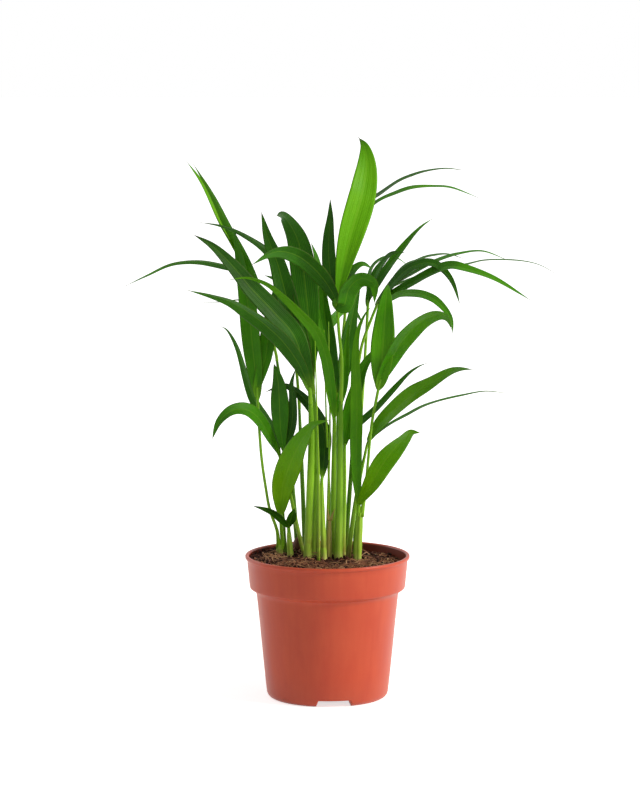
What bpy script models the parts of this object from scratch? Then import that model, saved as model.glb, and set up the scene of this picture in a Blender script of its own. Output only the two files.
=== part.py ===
"""A young areca palm in its nursery pot.

Frame: +Z up, the pot stands on Z = 0, and the front of the plant faces -Y.
The origin lies under the middle of the plant's spread, which is a little to
one side of the pot's own axis. Lengths in the tables are in millimetres.
"""

import math

import bmesh
import bpy
from mathutils import Vector

MM = 0.001

# Where the pot's axis stands in the frame.
POT_X, POT_Y = -11.2, -9.0

# The pot: a thin moulded plastic nursery pot on three feet.
POT_HEIGHT = 105.0
WALL = 1.2
FLOOR_RAISE = 5.0
FOOT_INNER_R = 30.0
CHANNEL_WIDTH = 24.0
CHANNEL_START_R = 12.0  # inside the recess under the middle, so that they join
CHANNEL_LENGTH = 48.0
CHANNEL_ANGLES = (6.5, 126.5, 246.5)
DRAIN_R = 4.0
SOIL_GAP = 0.3
POT_STEPS = 48
# (radius, height) of the outer wall from the foot up to just under the lip.
POT_WALL = (
    (39.4, 0.0),
    (42.2, 0.8),
    (43.9, 2.6),
    (44.5, 5.2),
    (51.5, 75.2),
    (52.5, 77.8),
    (54.4, 79.8),
    (56.4, 80.8),
    (58.4, 101.6),
)
POT_LIP = ((60.0, 102.4), (60.0, 104.4), (59.4, POT_HEIGHT))

# The plant is drawn on the upright plane through the pot's axis, X across and
# Z up. A third number brings a point that far toward an eye in front of the
# plant, along its line of sight, so that the front view keeps its drawing.
EYE = Vector((-5.4, -3150.0, 667.0))

PLANTED = 9.0  # how deep a shoot stands in the soil
SEAT = 0.3  # clearance between two pieces that touch

# Shoots: (x, toward) where each leaves the soil, then (x, z, toward) up to its
# top, then its radius at the soil and at the top.
SHOOTS = {
    "stem_01": ((-35, -15), [(-34.6, 112, -15)], 2.7, 2.6),
    "stem_02": ((-31.5, -23), [(-33, 140, -22), (-34.2, 172, -21)], 1.9, 1.5),
    "stem_03": ((-27, -5), [(-28, 121, -5)], 2.5, 2.2),
    "stem_04": ((-17.5, -12), [(-20.5, 119, -12.5), (-27, 150, -14), (-30.8, 173, -16)], 1.5, 1.3),
    "stem_05": ((-16.5, -25), [(-18.5, 165, -34), (-20.5, 215, -42)], 1.8, 1.4),
    "stem_06": ((-14.2, -2), [(-12.6, 150, -2), (-11.6, 190, -2), (-12.2, 216, -2)], 3.2, 2.4),
    "stem_07": ((-9.6, -11), [(-8.6, 150, -11), (-8.4, 190, -11), (-10.3, 226, -11)], 2.6, 2.0),
    "stem_08": ((-2.5, 2), [(-3.6, 135, 1), (-4.0, 156, -0.5)], 2.2, 1.8),
    "stem_09": ((1.2, -6), [(1.6, 130, -6)], 2.6, 1.7),
    "stem_10": ((3.8, -14.5), [(4.6, 160, -13), (5.0, 198, -11)], 2.3, 1.9),
    "stem_11": ((8.0, -4), [(9.0, 150, -4), (9.4, 190, -4), (9.9, 218, -4)], 3.0, 2.0),
    "stem_12": ((11.2, -16), [(12.0, 150, -16), (12.4, 180, -16)], 2.2, 1.8),
    "stem_13": ((15.4, -8.5), [(21.5, 150, -9), (28.0, 182, -7)], 1.9, 1.4),
    "stem_14": ((22.0, -3), [(22.8, 120, -3), (24.0, 136, -3)], 3.0, 2.8),
    "stem_15": ((13.5, -27), [(17.5, 170, -38), (21.6, 236, -50)], 1.9, 1.4),
    "stem_16": ((2.5, -28), [(8.0, 200, -42), (11.0, 260, -50)], 1.8, 1.4),
    "stem_17": ((-22.0, -29), [(-29.5, 200, -50), (-37, 250, -60)], 1.9, 1.4),
    "stem_18": ((-8.5, -30), [(-11.0, 170, -46), (-11.0, 215, -60)], 2.1, 1.6),
    "stem_20": ((7.5, -21.5), [(8.2, 150, -22), (7.6, 214, -24)], 1.8, 1.5),
    "stem_19": ((20.5, -20), [(22.5, 170, -34), (25.0, 215, -46)], 2.0, 1.5),
}

# Leaves. Each one is a stalk and the lobes of its blade, grown as one piece.
#   shoot:  the shoot it grows from, and its offset across the shoot's top
#   stalk:  (x, z, toward) points after the shoot's top
#   radius: of the stalk at its start and at its end
#   lobes:  the rib as (x, z) points after the stalk, the greatest width, how
#           far toward the eye and how many degrees turned from facing it,
#           both spread evenly from the base to the tip
LEAVES = {
    "leaf_01": dict(shoot="stem_01", offset=-1.5, radius=(1.1, 1.0),
        stalk=[(-37, 124, -14), (-42, 138, -13), (-45, 155, -12), (-48, 177, -10), (-50, 205, -8), (-51, 228, -8)],
        lobes=[
            ([(-54, 255), (-57, 285), (-62, 314), (-68, 346)], 15, (-12, -20, -36), (15, 20, 30)),
            ([(-45, 250), (-42, 270), (-36, 292), (-34, 310), (-43, 327), (-62, 340), (-78, 346), (-92, 348)], 13, (-10, -22, -26, -34, -30), (10, 15, 40, 60, 50)),
        ]),
    "leaf_02": dict(shoot="stem_17", offset=0, radius=(1.2, 1.0),
        stalk=[(-44, 280, -68)],
        lobes=[
            ([(-53, 303), (-65, 328), (-77, 350), (-90, 376), (-102, 393)], 9.5, (-70, -84, -100), (-40, -45, -40)),
            ([(-50, 300), (-61, 325), (-72, 346), (-84, 370), (-97, 391)], 9.0, (-66, -78, -92), (40, 45, 40)),
        ]),
    "leaf_03": dict(shoot="stem_06", offset=0, radius=(1.7, 1.3),
        stalk=[(-13.2, 228, -2)],
        lobes=[
            ([(-23, 263), (-38, 282), (-55, 300), (-69, 317), (-83, 331), (-98, 340)], 17, (0, 3, 8, 14), (-10, -20, -20, 10)),
            ([(-20, 244), (-31, 260), (-43, 272), (-56, 282), (-69, 290), (-84, 295), (-102, 299)], 15, (2, 22, 48, 72), (20, 35, 50, 60)),
        ]),
    "leaf_04": dict(shoot="stem_07", offset=0, radius=(1.6, 1.3),
        stalk=[(-11, 236, -11)],
        lobes=[
            ([(-12, 263), (-15, 292), (-18, 318), (-22, 337), (-31, 352), (-37, 353)], 18, (-12, -16, -24, -50), (-10, -5, 10, 30)),
            ([(-20, 263), (-29, 292), (-36, 318), (-43, 337), (-48, 357)], 14, (-13, -16, -22, -30), (15, 5, 0, 10)),
        ]),
    "leaf_05": dict(shoot="stem_11", offset=0, radius=(1.5, 1.0),
        stalk=[(10.2, 248, -3), (8.2, 270, -1), (7, 290, 0)],
        lobes=[
            ([(0, 303), (-9, 314), (-20, 323), (-32, 327), (-43, 325), (-55, 317)], 14.5, (4, 18, 34, 52), (40, 30, 20, 55)),
            ([(11, 314), (17, 340), (24, 365), (28, 387), (28, 404), (23, 410)], 20, (-2, -8, -20, -30), (0, -5, -20, 10)),
            ([(3, 306), (1, 322), (1, 338), (2, 352), (2, 366)], 11, (-6, -18, -32), (20, 10, 10)),
            ([(12, 288), (15, 299), (21, 306), (28, 307), (34, 302), (34, 289)], 15, (5, 16, 28), (-10, -35, -15)),
            ([(11, 297), (15, 308), (20, 315), (26, 318), (33, 314)], 10, (-5, -12, -18), (30, 40, 40)),
        ]),
    "leaf_06": dict(shoot="stem_05", offset=0, radius=(1.2, 1.0),
        stalk=[(-23, 245, -46), (-27, 266, -50)],
        lobes=[
            ([(-47, 299), (-63, 313), (-75, 317), (-94, 320), (-113, 318), (-130, 310), (-146, 302)], 10, (-52, -66, -60, -54), (50, 65, 65, 60)),
            ([(-38, 284), (-52, 291), (-65, 292), (-76, 290.5), (-90, 290)], 5, (-50, -54, -58), (70, 75, 75)),
        ]),
    "leaf_07": dict(shoot="stem_02", offset=0, radius=(1.2, 1.0),
        stalk=[(-34.8, 178, -20)],
        lobes=[
            ([(-39, 195), (-45, 206), (-53, 219), (-59, 236), (-65, 256), (-72, 269), (-78, 273)], 8.7, (-23, -32, -44, -56), (20, 35, 45, 40)),
            ([(-40, 188), (-47, 201), (-54, 209), (-62, 212), (-71, 210), (-79, 202), (-84, 189)], 7.5, (-17, 2, 16, 26), (-30, -35, -30, -20)),
        ]),
    "leaf_08": dict(shoot="stem_04", offset=0, radius=(1.1, 1.0),
        stalk=[(-31.6, 180, -16)],
        lobes=[
            ([(-34, 197), (-35, 219), (-36, 233), (-40, 247)], 11.6, (-15, -13, -10), (0, -10, -25)),
            ([(-26, 200), (-25, 219), (-26, 230), (-23, 242)], 7, (-17, -16, -14), (25, 20, 20)),
        ]),
    "leaf_09": dict(shoot="stem_01", offset=1.5, radius=(1.2, 1.2),
        stalk=[(-33.6, 124, -14), (-34, 135, -13)],
        lobes=[
            ([(-33, 153), (-29, 167), (-23, 181), (-17, 191), (-10, 200), (2, 204)], 17, (-8, 4, 16, 24), (0, 0, 25, 60)),
        ]),
    "leaf_10": dict(shoot="stem_03", offset=0, radius=(1.2, 1.0),
        stalk=[(-28.2, 125, -4.5)],
        lobes=[
            ([(-34, 131), (-40, 136), (-47, 139), (-55, 141)], 5, (0, 6, 12), (20, 30, 40)),
            ([(-27, 130), (-24, 139)], 5.5, (-3, 1), (-20, -20)),
        ]),
    "leaf_11": dict(shoot="stem_08", offset=0, radius=(1.3, 1.1),
        stalk=[(-3.6, 163, -2)],
        lobes=[
            ([(-2, 180), (-2, 195), (-8, 209), (-18, 221), (-29, 229), (-37, 228), (-46, 224)], 10, (-17, -23, -30, -38), (10, 20, 25, 40)),
        ]),
    "leaf_12": dict(shoot="stem_14", offset=1.5, radius=(1.1, 1.0),
        stalk=[(27.6, 152, -3), (29.6, 174, 0), (32, 200, 6), (36, 222, 9), (38.6, 234, 10)],
        lobes=[
            ([(47, 250), (55, 263), (64, 273), (73, 279), (81, 281), (87, 278), (90, 270)], 12, (14, 40, 68, 90), (-20, -30, -35, -20)),
            ([(40, 254), (41, 270), (42, 286), (43, 298), (44, 304)], 17, (11, 8, -8), (15, 10, 10)),
        ]),
    "leaf_13": dict(shoot="stem_14", offset=-1.5, radius=(1.2, 1.1),
        stalk=[(22.8, 142, -2.5)],
        lobes=[
            ([(21.5, 164), (21, 184), (21.5, 206), (21, 228), (20.5, 250), (22, 268), (27, 281), (33, 288)], 9, (-2, 0, 2, 4), (20, 15, 20, 30)),
            ([(31, 156), (39, 170), (47, 181), (55, 190), (61, 195.5), (68, 194.5)], 14.5, (9, 28, 48, 64), (-5, -10, -30, -50)),
        ]),
    "leaf_14": dict(shoot="stem_13", offset=0, radius=(1.1, 0.9),
        stalk=[(30, 189, -5)],
        lobes=[
            ([(38, 201), (48, 211), (61, 222), (74, 230), (87, 238), (96, 241), (106, 241)], 11.5, (-3, 20, 48, 74), (30, 35, 40, 50)),
            ([(44, 200), (58, 208), (69, 214), (81, 218), (98, 222), (114, 225), (129, 224)], 6, (-7, -14, -24, -36), (60, 70, 72, 70)),
        ]),
    "leaf_15": dict(shoot="stem_12", offset=0, radius=(1.4, 1.1),
        stalk=[(12.8, 187, -16)],
        lobes=[
            ([(16, 208), (21, 226), (26, 242), (33, 253), (42, 263)], 9.5, (-17, -22, -30), (10, 20, 30)),
            ([(22, 200), (37, 214), (48, 226), (58, 237), (66, 243), (73, 246)], 6, (-14, -10, -4), (40, 45, 40)),
        ]),
    "leaf_16": dict(shoot="stem_15", offset=0, radius=(1.2, 1.0),
        stalk=[(25, 259, -52), (31, 276, -54), (37, 291, -54)],
        lobes=[
            ([(54, 314.5), (66, 321), (76, 324), (87, 325), (98, 322)], 8, (-62, -80, -96), (70, 75, 70)),
            ([(48, 303), (66, 313), (80, 320), (95, 325), (112, 327), (130, 321)], 9, (-56, -68, -84, -92), (68, 72, 72, 70)),
            ([(47, 301), (68, 309.5), (89, 315), (102, 318), (113, 320.5), (127, 321), (142, 320), (154, 317), (165, 311)], 6, (-60, -78, -98, -106), (72, 76, 76, 72)),
            ([(54, 311), (67, 318), (77, 318), (85, 312), (91, 303), (96, 288)], 9, (-50, -44, -36, -28), (40, 45, 40, 20)),
            ([(50, 298), (61, 304), (74, 311), (87, 316), (98, 315), (121, 307), (148, 291)], 10, (-50, -42, -28, -14), (50, 50, 50, 50)),
            ([(43, 291), (53, 295.5), (62, 296.5), (71, 295), (80, 290), (89, 279), (91, 266)], 9, (-46, -30, -16, -6), (50, 60, 30, 0)),
        ]),
    "leaf_17": dict(shoot="stem_16", offset=0, radius=(1.2, 0.9),
        stalk=[(15, 310, -60), (17.5, 346, -66)],
        lobes=[
            ([(27, 361), (38, 369), (50, 377), (60, 381.5), (71, 385), (85, 387), (98, 386)], 8, (-72, -84, -98, -106), (65, 70, 72, 70)),
            ([(35, 362), (50, 369), (62, 373), (76, 374), (90, 373), (109, 366)], 8, (-66, -60, -56, -50), (68, 70, 70, 65)),
        ]),
    "leaf_18": dict(shoot="stem_19", offset=0, radius=(1.2, 1.0),
        stalk=[(27.5, 255, -66), (29.5, 292, -76)],
        lobes=[
            ([(38, 307), (45, 317), (54, 329), (62, 339), (69, 346), (76, 351)], 8.5, (-78, -86, -96), (40, 45, 50)),
            ([(34, 309), (40, 319), (47, 326), (57, 326)], 7, (-72, -66, -60), (30, 40, 40)),
            ([(31, 313), (40, 322), (50, 322), (58, 317)], 6, (-84, -96, -104), (60, 65, 60)),
        ]),
    "leaf_19": dict(shoot="stem_10", offset=0, radius=(1.5, 1.3),
        stalk=[(4.8, 206, -9)],
        lobes=[
            ([(3, 226), (-1, 250), (-8, 268), (-20, 282), (-31, 293), (-43, 303), (-58, 308), (-73, 306)], 9, (-4, 10, 20, 32), (10, 20, 35, 55)),
            ([(2, 228), (-2, 252), (-5, 272), (-6, 288)], 8, (-5, -3, -7), (-15, -15, -10)),
            ([(9.5, 219), (12.6, 234), (14, 258), (16, 278)], 6.5, (-13, -15, -16), (20, 15, 20)),
        ]),
    "leaf_21": dict(shoot="stem_20", offset=0, radius=(1.3, 1.1),
        stalk=[(7, 224, -25)],
        lobes=[
            ([(3, 244), (0, 266), (-3, 290), (-4, 316)], 13, (-26, -28, -33), (15, 10, 10)),
            ([(12, 242), (15, 262), (19, 285), (24, 304)], 12, (-27, -30, -36), (-15, -20, -20)),
        ]),
    "leaf_20": dict(shoot="stem_18", offset=0, radius=(1.4, 1.1),
        stalk=[(-10, 240, -68), (-9, 262, -76)],
        lobes=[
            ([(-6, 285), (-6, 306), (-8, 322), (-12, 334)], 13, (-84, -96, -108), (-30, -40, -50)),
            ([(-18, 280), (-27, 296), (-36, 306), (-46, 310)], 12, (-82, -92, -102), (30, 40, 45)),
            ([(2, 276), (10, 284), (19, 284), (26, 274)], 10, (-84, -98, -108), (-40, -45, -40)),
        ]),
}

DARK_LEAF = (0.030, 0.095, 0.010)
MID_LEAF = (0.055, 0.190, 0.008)
BRIGHT_LEAF = (0.120, 0.330, 0.010)
LEAF_COLOURS = {
    "leaf_02": BRIGHT_LEAF, "leaf_05": BRIGHT_LEAF, "leaf_09": BRIGHT_LEAF,
    "leaf_13": BRIGHT_LEAF, "leaf_14": BRIGHT_LEAF, "leaf_19": BRIGHT_LEAF,
    "leaf_07": DARK_LEAF, "leaf_08": DARK_LEAF, "leaf_10": DARK_LEAF,
    "leaf_11": DARK_LEAF, "leaf_03": DARK_LEAF,
}


def clear_scene():
    for obj in list(bpy.data.objects):
        bpy.data.objects.remove(obj, do_unlink=True)


def new_collection(name):
    collection = bpy.data.collections.new(name)
    bpy.context.scene.collection.children.link(collection)
    return collection


def material(name, colour, roughness):
    made = bpy.data.materials.new(name)
    made.use_nodes = True
    shader = made.node_tree.nodes["Principled BSDF"]
    shader.inputs["Base Color"].default_value = (*colour, 1.0)
    shader.inputs["Roughness"].default_value = roughness
    shader.inputs["Metallic"].default_value = 0.0
    return made


def placed(point):
    """A point in millimetres about the pot's axis, as metres in the frame."""
    return (Vector(point) + Vector((POT_X, POT_Y, 0.0))) * MM


def in_sight(x, z, toward):
    """The point drawn at (x, z), brought toward the eye along its line of sight."""
    drawn = Vector((x, 0.0, z))
    return drawn.lerp(EYE, toward / -EYE.y)


def curve_through(points, count):
    """count + 1 points evenly along a smooth curve through the given ones."""
    ends = [2 * points[0] - points[1], *points, 2 * points[-1] - points[-2]]
    fine = []
    for a, b, c, d in zip(ends, ends[1:], ends[2:], ends[3:]):
        for i in range(12):
            t = i / 12
            fine.append(0.5 * (2 * b + (c - a) * t + (2 * a - 5 * b + 4 * c - d) * t * t
                               + (3 * b - a - 3 * c + d) * t ** 3))
    fine.append(points[-1])
    along = [0.0]
    for a, b in zip(fine, fine[1:]):
        along.append(along[-1] + (b - a).length)
    picked, j = [], 0
    for i in range(count + 1):
        want = along[-1] * i / count
        while j < len(fine) - 2 and along[j + 1] < want:
            j += 1
        span = along[j + 1] - along[j]
        picked.append(fine[j].lerp(fine[j + 1], (want - along[j]) / span if span else 0.0))
    return picked


def spread(values, s):
    """The value at s of numbers spread evenly over 0 to 1."""
    at = s * (len(values) - 1)
    i = min(int(at), len(values) - 2)
    return values[i] + (values[i + 1] - values[i]) * (at - i)


def mesh_object(name, bm, collection):
    mesh = bpy.data.meshes.new(name)
    bm.to_mesh(mesh)
    bm.free()
    mesh.shade_smooth()
    mesh.set_sharp_from_angle(angle=math.radians(40))
    obj = bpy.data.objects.new(name, mesh)
    collection.objects.link(obj)
    return obj


def tube(name, points, radii, collection, resolution=2):
    """A round bar through the points, as a curve with filled ends."""
    curve = bpy.data.curves.new(name, "CURVE")
    curve.dimensions = "3D"
    curve.bevel_depth = MM
    curve.bevel_resolution = resolution
    curve.use_fill_caps = True
    spline = curve.splines.new("POLY")
    spline.points.add(len(points) - 1)
    for i, (knot, point) in enumerate(zip(spline.points, points)):
        knot.co = (*placed(point), 1.0)
        knot.radius = spread(radii, i / (len(points) - 1))
    obj = bpy.data.objects.new(name, curve)
    collection.objects.link(obj)
    return obj


def as_mesh(obj, collection):
    """The object's evaluated mesh as a new object, with its caps welded."""
    bpy.context.view_layer.update()
    graph = bpy.context.evaluated_depsgraph_get()
    mesh = bpy.data.meshes.new_from_object(obj.evaluated_get(graph))
    bm = bmesh.new()
    bm.from_mesh(mesh)
    bmesh.ops.remove_doubles(bm, verts=bm.verts, dist=1e-6)
    bmesh.ops.recalc_face_normals(bm, faces=bm.faces)
    bpy.data.meshes.remove(mesh)
    name = obj.name
    bpy.data.objects.remove(obj, do_unlink=True)
    return mesh_object(name, bm, collection)


def cutter(obj):
    obj.hide_render = True
    obj.display_type = "WIRE"
    return obj


def boolean(obj, operation, other):
    made = obj.modifiers.new(f"{operation.lower()}_{other.name}"[:60], "BOOLEAN")
    made.operation = operation
    made.solver = "EXACT"
    made.object = other


# ---------------------------------------------------------------- the pot


def turned(name, profile, collection):
    """A solid of revolution about the pot's axis from (radius, height) points, listed top to bottom."""
    mesh = bpy.data.meshes.new(name)
    points = [(r * MM, 0.0, z * MM) for r, z in profile]
    mesh.from_pydata(points, [(i, i + 1) for i in range(len(points) - 1)], [])
    obj = bpy.data.objects.new(name, mesh)
    obj.location = (POT_X * MM, POT_Y * MM, 0.0)
    collection.objects.link(obj)
    screw = obj.modifiers.new("turned", "SCREW")
    screw.axis = "Z"
    screw.steps = screw.render_steps = POT_STEPS
    screw.use_merge_vertices = True
    screw.merge_threshold = 0.00001
    screw.use_smooth_shade = True
    return obj


def pot_profile(inset, lip):
    """The pot's outer form, or the same form set in by a wall, from the top of its axis to the bottom."""
    wall = [(r - inset, z + inset if z < FLOOR_RAISE else z) for r, z in POT_WALL]
    if lip:
        top = [(0.0, POT_HEIGHT), *reversed(POT_LIP)]
    else:
        top = [(0.0, POT_HEIGHT + 2), (wall[-1][0] + 0.3, POT_HEIGHT + 2)]
    raised = FLOOR_RAISE + inset
    foot = [(FOOT_INNER_R + inset, inset), (FOOT_INNER_R + inset, raised), (0.0, raised)]
    return [*top, *reversed(wall), *foot]


def foot_channels(name, inset, collection):
    """The three raised channels that part the pot's base into feet, as one cutter each."""
    made = []
    for i, degrees in enumerate(CHANNEL_ANGLES):
        bm = bmesh.new()
        bmesh.ops.create_cube(bm, size=1.0)
        height = FLOOR_RAISE + inset + 3.0
        middle = CHANNEL_START_R + CHANNEL_LENGTH / 2
        for v in bm.verts:
            v.co.x *= (CHANNEL_WIDTH + 2 * inset) * MM
            v.co.y = (v.co.y * CHANNEL_LENGTH - middle) * MM
            v.co.z = (v.co.z * height + FLOOR_RAISE + inset - height / 2) * MM
        obj = cutter(mesh_object(f"{name}_{i + 1}", bm, collection))
        obj.location = (POT_X * MM, POT_Y * MM, 0.0)
        obj.rotation_euler.z = math.radians(degrees)
        made.append(obj)
    return made


def pot_form(name, inset, lip, collection, helpers):
    obj = turned(name, pot_profile(inset, lip), collection)
    for channel in foot_channels(f"{name}_channel", inset, helpers):
        boolean(obj, "DIFFERENCE", channel)
    return obj


def drain_holes(collection):
    made = []
    spots = [(0.0, 0.0)] + [
        (35.0, math.radians(a) - math.pi / 2) for a in CHANNEL_ANGLES
    ]
    for i, (r, angle) in enumerate(spots):
        bm = bmesh.new()
        bmesh.ops.create_cone(bm, cap_ends=True, segments=12, radius1=DRAIN_R * MM,
                              radius2=DRAIN_R * MM, depth=6 * MM)
        obj = cutter(mesh_object(f"drain_hole_{i + 1}", bm, collection))
        obj.location = placed((r * math.cos(angle), r * math.sin(angle), FLOOR_RAISE + 0.6))
        made.append(obj)
    return made


def soil_height(x, y):
    """The soil stands higher on the left, is heaped a little round the shoots and is never quite level."""
    heap = 1.2 * math.exp(-(x * x + y * y) / 1800.0)
    ripple = 0.5 * math.sin(x / 9.0 + 1.0) * math.cos(y / 8.0)
    return 99.6 - 0.045 * x + heap + ripple


def soil_block(name, collection):
    """A block whose top is the soil's surface, to trim the pot's filling with."""
    bm = bmesh.new()
    bmesh.ops.create_grid(bm, x_segments=14, y_segments=14, size=66 * MM)
    top = list(bm.faces)
    made = bmesh.ops.extrude_face_region(bm, geom=top)
    for v in bm.verts:
        v.co.z = -2 * MM
    for v in (g for g in made["geom"] if isinstance(g, bmesh.types.BMVert)):
        v.co.z = soil_height(v.co.x / MM, v.co.y / MM) * MM
    bmesh.ops.recalc_face_normals(bm, faces=bm.faces)
    obj = cutter(mesh_object(name, bm, collection))
    obj.location = (POT_X * MM, POT_Y * MM, 0.0)
    return obj


# -------------------------------------------------------------- the plant


def shoot_path(name):
    (x, toward), rest, _, _ = SHOOTS[name]
    ground = soil_height(x, -toward)
    foot = [Vector((x, -toward, ground - PLANTED)), Vector((x, -toward, ground + 3.0))]
    return foot + [in_sight(*p) for p in rest]


def planting_hole(name, collection):
    (x, toward), _, radius, _ = SHOOTS[name]
    bm = bmesh.new()
    bmesh.ops.create_cone(bm, cap_ends=True, segments=10, radius1=(radius + 0.55) * MM,
                          radius2=(radius + 0.55) * MM, depth=2 * PLANTED * MM)
    obj = cutter(mesh_object(f"planting_hole_{name}", bm, collection))
    obj.location = placed((x, -toward, soil_height(x, -toward) - SEAT))
    return obj


def stalk_path(leaf):
    """Starts just off the shoot's top, in line with it."""
    shoot = shoot_path(leaf["shoot"])
    ahead = (shoot[-1] - shoot[-2]).normalized()
    across = ahead.cross(EYE - shoot[-1]).normalized() * leaf["offset"]
    start = shoot[-1] + across + ahead * SEAT
    points = [start, start + ahead * 3.0] + [in_sight(*p) for p in leaf["stalk"]]
    return [points[0]] + curve_through(points[1:], max(2, len(points)))


def lobe_root(stalk, first):
    """A point well inside the stalk, a little below where the lobe leaves it."""
    best = min(range(1, len(stalk)), key=lambda i: (stalk[i] - first).length)
    back = (stalk[best - 1] - stalk[best]).normalized()
    return stalk[best] + back * min(2.5, 0.8 * (stalk[best - 1] - stalk[best]).length)


def lobe_mesh(name, stalk, lobe, collection):
    """A long thin blade about its rib: narrow at its root, widest before the middle, drawn out to a point."""
    rib, width, depths, turns = lobe
    drawn = [in_sight(x, z, spread(depths, i / (len(rib) - 1)))
             for i, (x, z) in enumerate(rib)]
    path = [lobe_root(stalk, drawn[0]), *drawn]
    length = sum((b - a).length for a, b in zip(path, path[1:]))
    count = max(5, min(10, round(length / 14)))
    path = curve_through(path, count)
    bm = bmesh.new()
    rings = []
    for i, point in enumerate(path):
        s = i / count
        ahead = (path[min(i + 1, count)] - path[max(i - 1, 0)]).normalized()
        right = ahead.cross(EYE - point).normalized()
        face = right.cross(ahead)
        turn = math.radians(spread(turns, s))
        side = right * math.cos(turn) + face * math.sin(turn)
        up = face * math.cos(turn) - right * math.sin(turn)
        half = max(0.35, width / 2 * math.sin(math.pi * min(1.0, s + 0.03) ** 0.75) ** 0.85)
        if i == 0:
            half = 0.6
        lift = 0.16 * half
        thick = 0.8 if i == 0 else 0.8 - 0.35 * s
        ring = []
        for across, above in ((-1, 0.22), (0, 0.5), (1, 0.22), (1, -0.22), (0, -0.5), (-1, -0.22)):
            at = point + side * half * across + up * (above * thick + lift * abs(across))
            ring.append(bm.verts.new(placed(at)))
        rings.append(ring)
    for a, b in zip(rings, rings[1:]):
        for i in range(6):
            j = (i + 1) % 6
            bm.faces.new((a[i], a[j], b[j], b[i]))
    bm.faces.new(list(reversed(rings[0])))
    bm.faces.new(rings[-1])
    bmesh.ops.triangulate(bm, faces=[f for f in bm.faces if len(f.verts) == 4])
    bmesh.ops.recalc_face_normals(bm, faces=bm.faces)
    return cutter(mesh_object(name, bm, collection))


def leaf_object(name, leaf, collection, helpers):
    """The stalk joined with its lobes into one body."""
    stalk = stalk_path(leaf)
    body = as_mesh(tube(name, stalk, leaf["radius"], helpers, 1), helpers)
    for i, lobe in enumerate(leaf["lobes"]):
        boolean(body, "UNION", lobe_mesh(f"{name}_lobe_{i + 1}", stalk, lobe, helpers))
    lobes = [m.object for m in body.modifiers]
    whole = as_mesh(body, collection)
    for obj in lobes:
        bpy.data.objects.remove(obj, do_unlink=True)
    return whole


def build():
    clear_scene()
    palm = new_collection("potted_palm")
    helpers = new_collection("cutters")

    pot = pot_form("pot", 0.0, True, palm, helpers)
    cavity = cutter(pot_form("pot_cavity", WALL, False, helpers, helpers))
    boolean(pot, "DIFFERENCE", cavity)
    for hole in drain_holes(helpers):
        boolean(pot, "DIFFERENCE", hole)
    pot.data.materials.append(material("terracotta_plastic", (0.56, 0.135, 0.075), 0.45))

    soil = pot_form("potting_soil", WALL + SOIL_GAP, False, palm, helpers)
    boolean(soil, "INTERSECT", soil_block("soil_surface", helpers))
    soil.data.materials.append(material("potting_soil", (0.035, 0.022, 0.014), 0.95))

    for name, (_, _, low, high) in SHOOTS.items():
        path = shoot_path(name)
        count = max(4, round((path[-1] - path[0]).length / 22))
        points = [path[0]] + curve_through(path[1:], count)
        stem = tube(name, points, (low, high), palm, 1)
        stem.data.materials.append(material(name, (0.20, 0.38, 0.05), 0.5))
        boolean(soil, "DIFFERENCE", planting_hole(name, helpers))

    for name, leaf in LEAVES.items():
        made = leaf_object(name, leaf, palm, helpers)
        made.data.materials.append(material(name, LEAF_COLOURS.get(name, MID_LEAF), 0.45))

    print(len(palm.objects), "pieces in", palm.name)


build()
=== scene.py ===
# %% [markdown]
# # A young areca palm in its nursery pot
# A young areca palm is sold as a clump of seedlings: slender green shoots
# stand close together in a thin plastic pot of peat and coir, and each leaf
# is a stalk that splits into long narrow lobes. This lesson builds that clump
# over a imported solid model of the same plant: the solid model fixes the size
# and the place of every piece, and here each piece gets its fine surface.

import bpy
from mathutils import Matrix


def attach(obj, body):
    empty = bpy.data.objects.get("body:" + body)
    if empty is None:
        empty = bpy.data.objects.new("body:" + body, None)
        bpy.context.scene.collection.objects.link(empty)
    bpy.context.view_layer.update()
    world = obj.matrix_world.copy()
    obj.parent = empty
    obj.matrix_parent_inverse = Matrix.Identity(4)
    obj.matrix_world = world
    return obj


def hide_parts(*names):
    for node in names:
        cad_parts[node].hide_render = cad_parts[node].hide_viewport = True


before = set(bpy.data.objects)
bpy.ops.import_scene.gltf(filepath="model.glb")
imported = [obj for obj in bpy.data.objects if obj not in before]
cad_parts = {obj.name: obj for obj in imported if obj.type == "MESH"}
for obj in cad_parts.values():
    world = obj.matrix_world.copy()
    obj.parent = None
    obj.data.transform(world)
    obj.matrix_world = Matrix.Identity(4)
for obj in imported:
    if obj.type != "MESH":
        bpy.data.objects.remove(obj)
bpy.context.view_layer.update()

# %% [markdown]
# ## Units and small tools
# A gardener measures a plant in millimetres, so every table below is in
# millimetres about the pot's axis, and one function turns a point into metres
# in the model's frame. Colours are written as they look on a swatch, in sRGB
# hex, and one function turns them linear, because shaders add light linearly.

# %% Units, colours and a node helper
import math

import bpy
import numpy as np
from mathutils import Vector, noise

MM = 0.001
POT_X, POT_Y = -11.2, -9.0  # the pot's axis in the frame


def placed(point):
    """Metres in the frame, from millimetres about the pot's axis."""
    return ((point[0] + POT_X) * MM, (point[1] + POT_Y) * MM, point[2] * MM)


def swatch(text):
    """A linear colour from an sRGB hex swatch."""
    parts = [int(text[i:i + 2], 16) / 255 for i in (1, 3, 5)]
    return [c / 12.92 if c < 0.04045 else ((c + 0.055) / 1.055) ** 2.4 for c in parts] + [1.0]


def add(tree, kind, inputs=None, **settings):
    """One shader node with its settings, its values and its links."""
    made = tree.nodes.new("ShaderNode" + kind)
    for name, value in settings.items():
        setattr(made, name, value)
    for name, value in (inputs or {}).items():
        if isinstance(value, bpy.types.NodeSocket):
            tree.links.new(value, made.inputs[name])
        else:
            made.inputs[name].default_value = value
    return made


print("pot colour in linear light:", [round(c, 3) for c in swatch("#C6482E")])

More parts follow.
